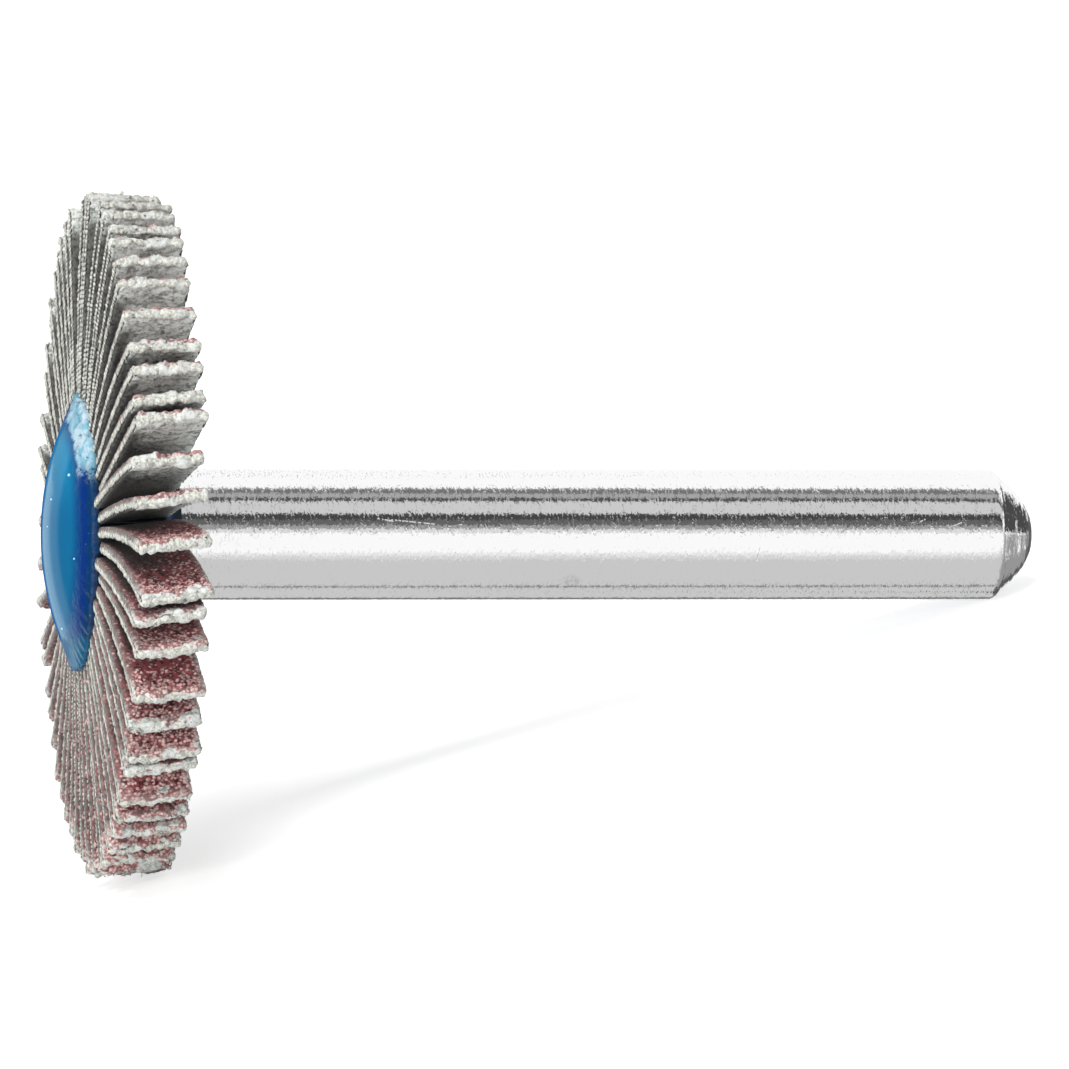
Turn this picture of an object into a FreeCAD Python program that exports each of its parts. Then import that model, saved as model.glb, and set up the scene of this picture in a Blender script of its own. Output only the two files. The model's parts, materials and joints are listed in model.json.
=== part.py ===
import FreeCAD, Part
import math
import os
import Sketcher

from FreeCAD import Placement, Rotation, Vector

# A mounted flap wheel: strips of abrasive cloth stand round a cast resin hub on a steel shank.
# Wheel frame: its Z runs along the shank from the domed front to the tip, with Z = 0 where the
# dome begins. Angles go round that axis. The finished part lies on its side, with Z up.

# Lean of each flap at the rim, in degrees. The second half of the wheel repeats the run.
RIM_LEANS = [6.3, 6.6, 5.0, 4.6, 4.2, 5.3, 5.9, 4.1, 3.6, 0.7,
             1.8, 2.3, 3.7, 6.4, 3.6, 3.1, 5.2, 4.7, 4.9, 1.7,
             3.1, 1.8, 0.5, 0.6, 0.6, 5.0, 4.5, 3.5, 6.7]
FLAP_COUNT = 2 * len(RIM_LEANS)
PITCH = 360 / FLAP_COUNT
KEY_FLATS = 2

SIZES = [
    ("rim_radius", 15.475, "axis to the middle of a flap's outer end"),
    ("flap_width", 3.3, "along the axis"),
    ("flap_thickness", 0.52, "cloth with its grain"),
    ("flap_rake", 3.1, "degrees, rim set back from the root"),
    ("flap_skew", 6.0, "degrees, turned about its own length"),
    ("flap_setback", 1.81, "dome base to the middle of a root"),
    ("first_flap", 13.5, "degrees, angle of the first root"),
    ("low_side", 190.0, "degrees, the angle that is turned to the ground"),
    ("root_film", 0.08, "resin between neighbouring roots"),
    ("root_depth", 0.65, "length of a root inside the resin"),
    ("straight_run", 0.4, "straight stretch above the resin"),
    ("cap_height", 1.5, "dome base to its top"),
    ("cap_cover", 0.9, "resin over the hidden shank end"),
    ("hub_back", 3.7, "dome base to the flat back of the hub"),
    ("collar_rise", 0.8, "coned collar of resin round the shank at the back"),
    ("collar_spread", 2.0, "the same, outwards from the shank"),
    ("shank_diameter", 6.0, "ground to size"),
    ("free_shank", 40.0, "shank length behind the hub"),
    ("spigot_step", 0.3, "the shank is turned down by this inside the hub"),
    ("inner_chamfer", 0.4, "on the hidden end"),
    ("key_depth", 0.35, "two flats that key the hidden end in the resin"),
    ("key_start", 0.4, "dome base to the flats"),
    ("key_length", 2.6, "along the axis"),
    ("nose_radius", 2.86, "rounded tip"),
    ("nose_angle", 42.6, "degrees, slope between tip and side"),
    ("nose_blend", 0.5, "rounding where the slope begins"),
]

# Sizes that follow from the others.
DERIVED = [
    ("root_radius", f"(flap_thickness + root_film) / (2 * sin({PITCH / 2} deg))",
     "roots stand side by side"),
    ("hub_radius", "root_radius + root_depth", "outside of the casting"),
    ("shank_radius", "shank_diameter / 2", "free part of the shank"),
    ("spigot_radius", "shank_radius - spigot_step", "hidden part of the shank"),
    ("hub_end", "hub_back + collar_rise", "where the casting leaves the shank"),
    ("tip", "hub_end + free_shank", "dome base to the tip"),
    ("shank_start", "cap_cover - cap_height", "hidden end of the shank"),
    ("nose_centre", "tip - nose_radius", "middle of the rounded tip"),
    ("slope_start", "nose_centre + nose_radius * sin(nose_angle)"
     " - (shank_radius - nose_radius * cos(nose_angle)) / tan(nose_angle)",
     "where the slope would meet the side"),
    ("side_end", "slope_start - nose_blend * tan(nose_angle / 2)", "where the rounding begins"),
]

NEAR = 1e-6

document = FreeCAD.newDocument("flap_wheel")
sheet = document.addObject("Spreadsheet::Sheet", "Sizes")


def lean_name(index):
    return f"lean_{index % len(RIM_LEANS) + 1:02d}"


def fill_sheet():
    leans = [(lean_name(i), lean, "degrees") for i, lean in enumerate(RIM_LEANS)]
    driving = [(name, str(value), remark) for name, value, remark in SIZES + leans]
    worked_out = [(name, "=" + formula, remark) for name, formula, remark in DERIVED]
    for row, (name, content, remark) in enumerate(driving + worked_out, start=1):
        sheet.set(f"A{row}", name)
        sheet.set(f"B{row}", content)
        sheet.set(f"C{row}", remark)
        sheet.setAlias(f"B{row}", name)
        document.recompute()


def size(name):
    return float(sheet.get(name))


def sketch_on(body, role, name):
    plane = next(part for part in body.Origin.OriginFeatures if part.Role == role)
    sketch = body.newObject("Sketcher::SketchObject", name)
    sketch.AttachmentSupport = [(plane, "")]
    sketch.MapMode = "FlatFace"
    return sketch


def join(sketch, *pairs):
    for pair in pairs:
        sketch.addConstraint(Sketcher.Constraint("Coincident", *pair))


def frame(sketch):
    """Makes the first four lines of a sketch an upright rectangle."""
    join(sketch, (0, 2, 1, 1), (1, 2, 2, 1), (2, 2, 3, 1), (3, 2, 0, 1))
    for edge, way in enumerate(("Horizontal", "Vertical", "Horizontal", "Vertical")):
        sketch.addConstraint(Sketcher.Constraint(way, edge))


def drive(sketch, name, kind, where, formula):
    """Adds a dimension that follows a formula on the sheet's sizes."""
    value = float(sheet.evalExpression(formula))
    if kind == "Angle":
        value = math.radians(value)
    index = sketch.addConstraint(Sketcher.Constraint(kind, *where, value))
    sketch.renameConstraint(index, name)
    unit = " * 1 deg" if kind == "Angle" else ""
    sketch.setExpression(f"Constraints.{name}", f"({formula}){unit}")


def line(x1, y1, x2, y2):
    return Part.LineSegment(Vector(x1, y1, 0), Vector(x2, y2, 0))


def arc(x, y, radius, start_degrees, end_degrees):
    circle = Part.Circle(Vector(x, y, 0), Vector(0, 0, 1), radius)
    return Part.ArcOfCircle(circle, math.radians(start_degrees), math.radians(end_degrees))


def hub_angle(index):
    return size("first_flap") + PITCH * index


def flap_place(index):
    """Where a flap's own frame lies in the wheel: root at the origin, Z outwards, X to the front."""
    turn = Rotation(Vector(0, 0, 1), hub_angle(index))
    root = Placement(Vector(size("root_radius"), 0, size("flap_setback")), Rotation())
    rake = Rotation(Vector(0, 1, 0), 90 - size("flap_rake"))
    skew = Rotation(Vector(0, 0, 1), size("flap_skew"))
    return Placement(Vector(), turn) * root * Placement(Vector(), rake * skew)


def flap_end(index):
    """Sideways and outward reach of a flap's outer end in its own frame, and its slope there."""
    lean = math.radians(size(lean_name(index)))
    sideways = size("rim_radius") * math.sin(lean)
    outward = size("rim_radius") * math.cos(lean) - size("root_radius")
    straight = size("root_depth") + size("straight_run")
    slope = 2 * math.atan2(sideways, outward - straight)
    return sideways, outward, slope


def rim_corner(index, front, later):
    """A corner of a flap's outer end in the wheel frame. Each argument is 1 or -1 for its side."""
    sideways, outward, slope = flap_end(index)
    across = later * size("flap_thickness") / 2
    y = sideways + across * math.cos(slope)
    z = outward - across * math.sin(slope)
    return flap_place(index).multVec(Vector(front * size("flap_width") / 2, y, z))


def standing_flap():
    """The wheel lies on the two neighbours on either side of its low side. This is the first."""
    rims = [hub_angle(index) + size(lean_name(index)) for index in range(FLAP_COUNT)]
    return max(index for index, angle in enumerate(rims) if angle < size("low_side"))


def line_reach(first, second):
    """Distance from the axis to the line through two corners, seen along the axis."""
    chord = second - first
    return (first.x * chord.y - first.y * chord.x) / math.hypot(chord.x, chord.y)


def rest_pose():
    """Turns the wheel frame so that two flaps and the nose meet the ground, centred over it."""
    index = standing_flap()
    pairs = [(rim_corner(index, front=-1, later=one), rim_corner(index + 1, front=-1, later=other))
             for one in (1, -1) for other in (1, -1)]
    first, second = max(pairs, key=lambda pair: line_reach(*pair))
    reach = line_reach(first, second)
    low_side = math.degrees(math.atan2(first.x - second.x, second.y - first.y))
    back = (first.z + second.z) / 2

    # The rounding between side and slope meets the ground as a small circle.
    blend = size("nose_blend")
    run = size("side_end") - back
    drop = reach - (size("shank_radius") - blend)
    tilt = math.degrees(math.atan2(drop, run) - math.asin(blend / math.hypot(run, drop)))

    upright = Rotation(Vector(0, 1, 0), 90 + tilt) * Rotation(Vector(0, 0, 1), -low_side)
    laid = Placement(Vector(), upright)
    corners = [laid.multVec(rim_corner(index, front, later))
               for index in range(FLAP_COUNT) for front in (1, -1) for later in (1, -1)]
    nose = laid.multVec(Vector(0, 0, size("nose_centre"))).x + size("nose_radius")
    left = min(point.x for point in corners)
    sides = [point.y for point in corners]
    lowest = min(point.z for point in corners)
    laid.Base = Vector(-(left + nose) / 2, -(min(sides) + max(sides)) / 2, -lowest)
    return laid


def make_flap(index, pose):
    """A strip of cloth, swept from its root along a straight run and one gentle bend."""
    body = document.addObject("PartDesign::Body", f"Flap{index + 1:02d}")
    body.Label = f"flap_{index + 1:02d}"

    section = sketch_on(body, "XY_Plane", "Section")
    half_width = size("flap_width") / 2
    half_thick = size("flap_thickness") / 2
    section.addGeometry([
        line(-half_width, -half_thick, half_width, -half_thick),
        line(half_width, -half_thick, half_width, half_thick),
        line(half_width, half_thick, -half_width, half_thick),
        line(-half_width, half_thick, -half_width, -half_thick),
    ], False)
    frame(section)
    section.addConstraint(Sketcher.Constraint("Symmetric", 0, 1, 1, 2, -1, 1))
    drive(section, "Width", "DistanceX", (0, 1, 0, 2), "Sizes.flap_width")
    drive(section, "Thickness", "DistanceY", (1, 1, 1, 2), "Sizes.flap_thickness")

    path = sketch_on(body, "YZ_Plane", "Path")
    sideways, outward, slope = flap_end(index)
    straight = size("root_depth") + size("straight_run")
    bend = (outward - straight) / math.sin(slope)
    path.addGeometry([
        line(0, 0, 0, straight),
        arc(bend, straight, bend, 180 - math.degrees(slope), 180),
    ], False)
    join(path, (0, 1, -1, 1))
    path.addConstraint(Sketcher.Constraint("Vertical", 0))
    path.addConstraint(Sketcher.Constraint("Tangent", 0, 2, 1, 2))
    lean = f"Sizes.{lean_name(index)}"
    drive(path, "Straight", "DistanceY", (0, 1, 0, 2), "Sizes.root_depth + Sizes.straight_run")
    drive(path, "Sideways", "DistanceX", (-1, 1, 1, 1), f"Sizes.rim_radius * sin({lean})")
    drive(path, "Outward", "DistanceY", (-1, 1, 1, 1),
          f"Sizes.rim_radius * cos({lean}) - Sizes.root_radius")

    strip = body.newObject("PartDesign::AdditivePipe", "Strip")
    strip.Profile = section
    strip.Spine = (path, ["Edge1", "Edge2"])
    body.Tip = strip
    body.Placement = pose * flap_place(index)
    return body


def revolve(body, kind, profile, name):
    turned = body.newObject(f"PartDesign::{kind}", name)
    turned.Profile = profile
    turned.ReferenceAxis = (profile, ["V_Axis"])
    turned.Angle = 360
    body.Tip = turned
    document.recompute()
    return turned


def must_shrink(before, after):
    """A cut that points away from the solid leaves it whole, so the volumes are compared."""
    if after.Shape.Volume > before.Shape.Volume - NEAR:
        raise RuntimeError(f"{after.Name} took nothing away")


def ring_edge(feature, radius, height):
    """Name of the round edge of that radius at that height on the axis."""
    for number, edge in enumerate(feature.Shape.Edges, start=1):
        if edge.Degenerated or not isinstance(edge.Curve, Part.Circle):
            continue
        alike = abs(edge.Curve.Radius - radius) < NEAR
        if alike and abs(edge.Curve.Center.z - height) < NEAR:
            return f"Edge{number}"
    raise ValueError(f"no round edge of radius {radius} at {height}")


def make_shank(pose):
    """Ground bar with a coned and rounded tip, and a stepped, flatted end inside the resin."""
    body = document.addObject("PartDesign::Body", "Shank")
    body.Label = "shank"

    profile = sketch_on(body, "XZ_Plane", "Profile")
    radius, start, tip = size("shank_radius"), size("shank_start"), size("tip")
    spigot, shoulder = size("spigot_radius"), size("hub_end")
    nose, centre = size("nose_radius"), size("nose_centre")
    blend, side_end = size("nose_blend"), size("side_end")
    away = 90 - size("nose_angle")
    across, up = math.cos(math.radians(away)), math.sin(math.radians(away))
    profile.addGeometry([
        line(0, tip, 0, start),
        line(0, start, spigot, start),
        line(spigot, start, spigot, shoulder),
        line(spigot, shoulder, radius, shoulder),
        line(radius, shoulder, radius, side_end),
        arc(radius - blend, side_end, blend, 0, away),
        line(radius - blend + blend * across, side_end + blend * up, nose * across, centre + nose * up),
        arc(0, centre, nose, away, 90),
    ], False)
    join(profile, (0, 2, 1, 1), (1, 2, 2, 1), (2, 2, 3, 1), (3, 2, 4, 1), (7, 2, 0, 1))
    for corner in ((4, 2, 5, 1), (5, 2, 6, 1), (6, 2, 7, 1)):
        profile.addConstraint(Sketcher.Constraint("Tangent", *corner))
    for edge, way in enumerate(("Vertical", "Horizontal", "Vertical", "Horizontal", "Vertical")):
        profile.addConstraint(Sketcher.Constraint(way, edge))
    profile.addConstraint(Sketcher.Constraint("PointOnObject", 0, 1, -2))
    profile.addConstraint(Sketcher.Constraint("PointOnObject", 7, 3, -2))
    drive(profile, "Start", "DistanceY", (0, 2, -1, 1), "-Sizes.shank_start")
    drive(profile, "Spigot", "DistanceX", (1, 1, 1, 2), "Sizes.spigot_radius")
    drive(profile, "Shoulder", "DistanceY", (-1, 1, 3, 2), "Sizes.hub_end")
    drive(profile, "Radius", "DistanceX", (-1, 1, 4, 1), "Sizes.shank_radius")
    drive(profile, "Tip", "DistanceY", (-1, 1, 0, 1), "Sizes.tip")
    drive(profile, "NoseBlend", "Radius", (5,), "Sizes.nose_blend")
    drive(profile, "NoseSlope", "Angle", (6,), "90 + Sizes.nose_angle")
    drive(profile, "NoseRadius", "Radius", (7,), "Sizes.nose_radius")
    bar = revolve(body, "Revolution", profile, "Bar")

    flat = sketch_on(body, "XZ_Plane", "KeyOutline")
    inside, outside = spigot - size("key_depth"), spigot + size("key_depth")
    low, high = size("key_start"), size("key_start") + size("key_length")
    flat.addGeometry([
        line(inside, low, outside, low),
        line(outside, low, outside, high),
        line(outside, high, inside, high),
        line(inside, high, inside, low),
    ], False)
    frame(flat)
    drive(flat, "Inside", "DistanceX", (-1, 1, 0, 1), "Sizes.spigot_radius - Sizes.key_depth")
    drive(flat, "Across", "DistanceX", (0, 1, 0, 2), "2 * Sizes.key_depth")
    drive(flat, "Start", "DistanceY", (-1, 1, 0, 1), "Sizes.key_start")
    drive(flat, "Length", "DistanceY", (1, 1, 1, 2), "Sizes.key_length")
    key = body.newObject("PartDesign::Pocket", "KeyFlat")
    key.Profile = flat
    key.Type = "ThroughAll"
    key.SideType = "Symmetric"
    body.Tip = key
    document.recompute()
    must_shrink(bar, key)

    keys = body.newObject("PartDesign::PolarPattern", "KeyFlats")
    keys.Originals = [key]
    keys.Axis = (flat, ["V_Axis"])
    keys.Angle = 360
    keys.Occurrences = KEY_FLATS
    body.Tip = keys
    document.recompute()
    must_shrink(key, keys)

    chamfer = body.newObject("PartDesign::Chamfer", "InnerChamfer")
    chamfer.Base = (keys, [ring_edge(keys, spigot, start)])
    chamfer.setExpression("Size", "Sizes.inner_chamfer")
    body.Tip = chamfer
    document.recompute()
    must_shrink(keys, chamfer)
    body.Placement = pose
    return body


def make_hub(pose, shank, flaps):
    """The casting: domed front, round core and a collar at the shank, shaped by what it grips."""
    body = document.addObject("PartDesign::Body", "Casting")
    profile = sketch_on(body, "XZ_Plane", "Profile")
    radius, back, end = size("hub_radius"), size("hub_back"), size("hub_end")
    cap, grip = size("cap_height"), size("shank_radius")
    dome = (radius ** 2 + cap ** 2) / (2 * cap)
    edge_angle = math.degrees(math.asin(radius / dome))
    foot = grip + size("collar_spread")
    profile.addGeometry([
        arc(0, dome - cap, dome, -90, edge_angle - 90),
        line(radius, 0, radius, back),
        line(radius, back, foot, back),
        line(foot, back, grip, end),
        line(grip, end, 0, end),
        line(0, end, 0, -cap),
    ], False)
    join(profile, (0, 2, 1, 1), (1, 2, 2, 1), (2, 2, 3, 1), (3, 2, 4, 1), (4, 2, 5, 1), (5, 2, 0, 1))
    for edge, way in ((1, "Vertical"), (2, "Horizontal"), (4, "Horizontal"), (5, "Vertical")):
        profile.addConstraint(Sketcher.Constraint(way, edge))
    profile.addConstraint(Sketcher.Constraint("PointOnObject", 0, 3, -2))
    profile.addConstraint(Sketcher.Constraint("PointOnObject", 5, 1, -2))
    profile.addConstraint(Sketcher.Constraint("PointOnObject", 0, 2, -1))
    drive(profile, "Cap", "DistanceY", (0, 1, -1, 1), "Sizes.cap_height")
    drive(profile, "Radius", "DistanceX", (-1, 1, 0, 2), "Sizes.hub_radius")
    drive(profile, "Back", "DistanceY", (-1, 1, 1, 2), "Sizes.hub_back")
    drive(profile, "End", "DistanceY", (-1, 1, 4, 2), "Sizes.hub_end")
    drive(profile, "Grip", "DistanceX", (4, 2, 4, 1), "Sizes.shank_radius")
    drive(profile, "Spread", "DistanceX", (3, 2, 3, 1), "Sizes.collar_spread")
    revolve(body, "Revolution", profile, "Poured")
    body.Placement = pose

    fan = document.addObject("Part::Compound", "FlapFan")
    fan.Links = flaps
    held = document.addObject("Part::Cut", "RoundTheShank")
    held.Base, held.Tool = body, shank
    hub = document.addObject("Part::Cut", "Hub")
    hub.Base, hub.Tool = held, fan
    hub.Label = "resin_hub"
    document.recompute()
    must_shrink(body, held)
    must_shrink(held, hub)
    return hub


def check(parts):
    document.recompute()
    for thing in document.Objects:
        bad = [state for state in thing.State if state in ("Invalid", "Error")]
        if bad:
            raise RuntimeError(f"{thing.Name}: {bad}")
    for part in parts:
        if part.Shape.isNull() or not part.Shape.isValid() or len(part.Shape.Solids) != 1:
            raise RuntimeError(f"{part.Label}: not one sound solid")


def main():
    fill_sheet()
    pose = rest_pose()
    flaps = [make_flap(index, pose) for index in range(FLAP_COUNT)]
    shank = make_shank(pose)
    parts = flaps + [shank, make_hub(pose, shank, flaps)]
    check(parts)

    os.makedirs("parts", exist_ok=True)
    for part in parts:
        part.Shape.exportStep(f"parts/{part.Label}.step")
    axis = pose.Rotation.multVec(Vector(0, 0, 1))
    print(len(parts), "pieces")
    print("free shank from", pose.multVec(Vector(0, 0, size("hub_end"))), "along", axis)
    print("to", pose.multVec(Vector(0, 0, size("side_end"))))


main()
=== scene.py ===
# %% [markdown]
# A mounted flap wheel is a small grinding tool: strips of abrasive cloth stand like the pages of
# an open book round a cast resin hub, and the hub sits on a steel shank. The construction comes
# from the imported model, which stays where it is. This lesson dresses it: cloth that frays where
# it was cut, resin that shines, and steel that was ground and turned.

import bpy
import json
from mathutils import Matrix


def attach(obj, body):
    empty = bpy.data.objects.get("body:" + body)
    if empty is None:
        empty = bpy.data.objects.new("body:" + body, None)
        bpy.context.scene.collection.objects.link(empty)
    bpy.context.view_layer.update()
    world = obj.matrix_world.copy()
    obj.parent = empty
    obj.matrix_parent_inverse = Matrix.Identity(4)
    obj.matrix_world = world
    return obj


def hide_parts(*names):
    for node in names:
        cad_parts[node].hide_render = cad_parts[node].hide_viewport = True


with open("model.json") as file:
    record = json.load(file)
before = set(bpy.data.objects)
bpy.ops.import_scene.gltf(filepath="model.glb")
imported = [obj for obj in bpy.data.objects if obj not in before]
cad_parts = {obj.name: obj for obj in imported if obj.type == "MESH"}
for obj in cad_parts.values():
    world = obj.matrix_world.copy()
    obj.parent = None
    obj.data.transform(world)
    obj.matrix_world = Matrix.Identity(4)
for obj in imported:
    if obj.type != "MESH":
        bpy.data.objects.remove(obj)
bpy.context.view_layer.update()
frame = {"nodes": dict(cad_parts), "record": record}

# %% [markdown]
# Everything on the wheel is easiest to think of round its own axis, in millimetres. So the first
# job is a wheel frame: Z runs along the shank from the domed front to the tip, with Z = 0 where
# the dome begins, and X points to the place that is uppermost for the camera. It could be typed
# in, but it is measured on the model instead, so that it can't disagree with it: the axis comes
# from the shank's mount, the dome's base from the hub's widest ring, and the turn from the root
# of the first flap.

# %% Points of the model
import math
import random

import bmesh
import bpy
import numpy as np
from mathutils import Matrix, Vector

MM = 0.001
FIRST_FLAP = math.radians(13.5)
FLAPS = [name for name in sorted(frame["nodes"]) if name.startswith("flap_")]

mount = frame["record"]["mounts"][0]
along = Vector(mount["axis"]).normalized()
on_axis = Vector(mount["pos_m"])


def node_points(name):
    """The corners of a node's mesh, each one once."""
    mesh = frame["nodes"][name].data
    points = np.empty(3 * len(mesh.vertices), np.float32)
    mesh.vertices.foreach_get("co", points)
    return np.unique(points.reshape(-1, 3).astype(float).round(6), axis=0)


def off_axis(points):
    """Heights along the axis from the mount's middle, and distances from the axis."""
    arms = points - np.array(on_axis)
    heights = arms @ np.array(along)
    return heights, np.linalg.norm(arms - np.outer(heights, np.array(along)), axis=1)


def innermost(points, count=4):
    return points[np.argsort(off_axis(points)[1])[:count]]


print("first and last flap:", FLAPS[0], FLAPS[-1])

# %% [markdown]
# The hub's widest ring begins where its dome begins, which gives the origin. The roots stand at
# even angles, and the angle of the first one is known, which gives the turn. The matrix then
# takes millimetres of the wheel frame to metres of the model, and its inverse goes back.

# %% The wheel frame, measured on the model
heights, distances = off_axis(node_points("resin_hub"))
dome_base = on_axis + along * heights[distances > 0.995 * distances.max()].min()

root = Vector(innermost(node_points(FLAPS[0])).mean(axis=0)) - dome_base
root_way = (root - along * root.dot(along)).normalized()
top = Matrix.Rotation(-FIRST_FLAP, 3, along) @ root_way
near = along.cross(top)

wheel_to_part = Matrix([(*(MM * vector[i] for vector in (top, near, along)), dome_base[i])
                        for i in range(3)] + [(0, 0, 0, 1)])
part_to_wheel = wheel_to_part.inverted()
print("dome base at", [round(v / MM, 2) for v in dome_base], "mm;", len(FLAPS), "flaps")

# %% [markdown]
# The camera comes first, because every later choice is judged through it. The wheel was taken
# almost square from the side with a long lens: the shank lies level in the picture, there is no
# visible perspective, and the blue front is turned about nine degrees towards the viewer.

# %% The camera
TURN_OF_FRONT = math.radians(9.25)
AIM_HEIGHT = 21.25
DISTANCE = 0.614
LENS = 450

to_camera = near * math.cos(TURN_OF_FRONT) - along * math.sin(TURN_OF_FRONT)
right = (along - to_camera * along.dot(to_camera)).normalized()
up = to_camera.cross(right)

camera = bpy.data.objects.new("camera", bpy.data.cameras.new("camera"))
bpy.context.scene.collection.objects.link(camera)
aim = dome_base + along * AIM_HEIGHT * MM
place = aim + to_camera * DISTANCE
camera.matrix_world = Matrix([(right[i], up[i], to_camera[i], place[i]) for i in range(3)]
                             + [(0, 0, 0, 1)])
camera.data.lens = LENS
camera.data.clip_end = 20
bpy.context.scene.camera = camera
print("camera looks down by", round(math.degrees(math.asin(to_camera.z)), 1), "degrees")

# %% [markdown]
# Every material below is a small network of nodes. Wiring them by hand in the editor is easy to
# see but slow to repeat, so a few helpers do it: one adds a node, one does sums with masks, one
# turns a measure into a soft mask, and one mixes two colours by a mask.

# %% Small helpers for nodes
def fresh_material(name):
    """A material with only its Principled shader and its output."""
    material = bpy.data.materials.new(name)
    material.use_nodes = True
    material.node_tree.nodes.clear()
    output = material.node_tree.nodes.new("ShaderNodeOutputMaterial")
    shader = material.node_tree.nodes.new("ShaderNodeBsdfPrincipled")
    material.node_tree.links.new(shader.outputs[0], output.inputs[0])
    return material, material.node_tree, shader


def add_node(tree, kind, **settings):
    """Adds a node. Settings that the node itself lacks are the values of its input sockets."""
    node = tree.nodes.new(kind)
    for key, value in settings.items():
        if hasattr(node, key):
            setattr(node, key, value)
        else:
            node.inputs[key.replace("_", " ")].default_value = value
    return node


def plug(tree, source, target):
    tree.links.new(source, target)
    return source


# %% [markdown]
# A finish is a colour here and another colour there. Where each one goes is said by a mask, a
# number from 0 to 1 that is worked out from places and noise. Image masks would have to be
# painted for every flap, while sums with noise fit all of them.

# %% Masks and mixes
def arithmetic(tree, operation, first, second=None):
    """A Math node fed with sockets or numbers. Returns its output."""
    node = tree.nodes.new("ShaderNodeMath")
    node.operation = operation
    for socket, value in zip(node.inputs, (first, second)):
        if isinstance(value, bpy.types.NodeSocket):
            tree.links.new(value, socket)
        elif value is not None:
            socket.default_value = value
    return node.outputs[0]


def ramp(tree, source, start, end):
    """0 where the source is below start, 1 above end, and smooth between."""
    node = tree.nodes.new("ShaderNodeMapRange")
    node.interpolation_type = "SMOOTHSTEP"
    node.inputs["From Min"].default_value = start
    node.inputs["From Max"].default_value = end
    tree.links.new(source, node.inputs["Value"])
    return node.outputs["Result"]


def blend_colours(tree, factor, first, second):
    """A colour mix. Each colour is a socket or three numbers."""
    node = tree.nodes.new("ShaderNodeMix")
    node.data_type = "RGBA"
    tree.links.new(factor, node.inputs["Factor"])
    sockets = [s for s in node.inputs if s.type == "RGBA"]
    for socket, colour in zip(sockets, (first, second)):
        if isinstance(colour, bpy.types.NodeSocket):
            tree.links.new(colour, socket)
        else:
            socket.default_value = (*colour, 1)
    return next(s for s in node.outputs if s.type == "RGBA")


# %% [markdown]
# A studio for small shiny things is a pale table, soft light from all round, and cards. Steel
# has no colour of its own to show: it shows the room. So long dark and grey cards stand where
# the shank mirrors them, as a product photographer would set them. They are seen in reflections
# only, and take no light away from the tool.
# The table is pale, and it glows a little for the camera's eye alone, so that it fades into the
# white behind it and still keeps the tool's shadow.

# %% The table
TABLE_SIZE = 6.0
TABLE_COLOUR = (0.80, 0.80, 0.80)
TABLE_LIFT = 0.55


def seen_or_mirrored(tree):
    """1 for rays from the camera, off gloss or through glass, 0 for those that carry light."""
    path = add_node(tree, "ShaderNodeLightPath")
    shown = arithmetic(tree, "MAXIMUM", path.outputs["Is Camera Ray"], path.outputs["Is Glossy Ray"])
    return arithmetic(tree, "MAXIMUM", shown, path.outputs["Is Transmission Ray"])


bpy.ops.object.select_all(action="DESELECT")
bpy.ops.mesh.primitive_plane_add(size=TABLE_SIZE, location=(0, 0, 0))
table = bpy.context.object
table.name = "table"
table.visible_glossy = False

material, tree, shader = fresh_material("pale_table")
shader.inputs["Base Color"].default_value = (*TABLE_COLOUR, 1)
shader.inputs["Roughness"].default_value = 0.9
shader.inputs["Specular IOR Level"].default_value = 0.1
shader.inputs["Emission Color"].default_value = (1, 1, 1, 1)
lift = arithmetic(tree, "MULTIPLY", seen_or_mirrored(tree), TABLE_LIFT)
plug(tree, lift, shader.inputs["Emission Strength"])
table.data.materials.append(material)
print("table:", TABLE_SIZE, "m square")

# %% [markdown]
# Soft air comes from the world. To the camera and to gloss it is plain white, but the light that
# it sheds is weaker, so that the lamps can still model the flaps.

# %% The air
AIR_LIGHT = 0.55

bpy.context.scene.view_settings.view_transform = "Standard"
world = bpy.data.worlds.new("soft_air")
bpy.context.scene.world = world
world.use_nodes = True
tree = world.node_tree
air = tree.nodes["Background"]
air.inputs["Color"].default_value = (1, 1, 1, 1)
shown = seen_or_mirrored(tree)
glow = arithmetic(tree, "MULTIPLY", shown, 1 - AIR_LIGHT)
plug(tree, arithmetic(tree, "ADD", glow, AIR_LIGHT), air.inputs["Strength"])
print("air:", AIR_LIGHT, "as light, 1 to the eye")

# %% [markdown]
# Three square soft lamps light the wheel: one above for the tops of the flaps, one from the
# front left for the grain and the dome's side, and one low for the ends that hang down. Gloss
# doesn't see them, because the steel and the resin have cards and panels of their own.

# %% The lamps
def lamp(name, way, distance, size, watts):
    """A square soft lamp that looks at the wheel from a direction given right, up, to camera."""
    light = bpy.data.lights.new(name, "AREA")
    light.shape = "SQUARE"
    light.size = size
    light.energy = watts
    lamp_object = bpy.data.objects.new(name, light)
    bpy.context.scene.collection.objects.link(lamp_object)
    direction = (right * way[0] + up * way[1] + to_camera * way[2]).normalized()
    lamp_object.location = dome_base + direction * distance
    lamp_object.rotation_euler = direction.to_track_quat("Z", "Y").to_euler()
    lamp_object.visible_glossy = False
    return lamp_object


lamps = [lamp("key_lamp", (-0.25, 1.0, 0.75), 0.7, 0.30, 2.9),
         lamp("front_lamp", (-0.7, -0.02, 1.0), 0.8, 0.40, 3.7),
         lamp("low_lamp", (0.25, -0.85, 1.0), 0.6, 0.30, 3.0)]
print("lamps:", [light.name for light in lamps])

# %% [markdown]
# The cards are plain planes that run along the shank. Each one fills a slice of the circle of
# directions round it, given in degrees from the camera's direction upwards. What a card looks
# like is an even glow, so it is the same from any side.

# %% A plane for gloss alone
glowing = []


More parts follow.
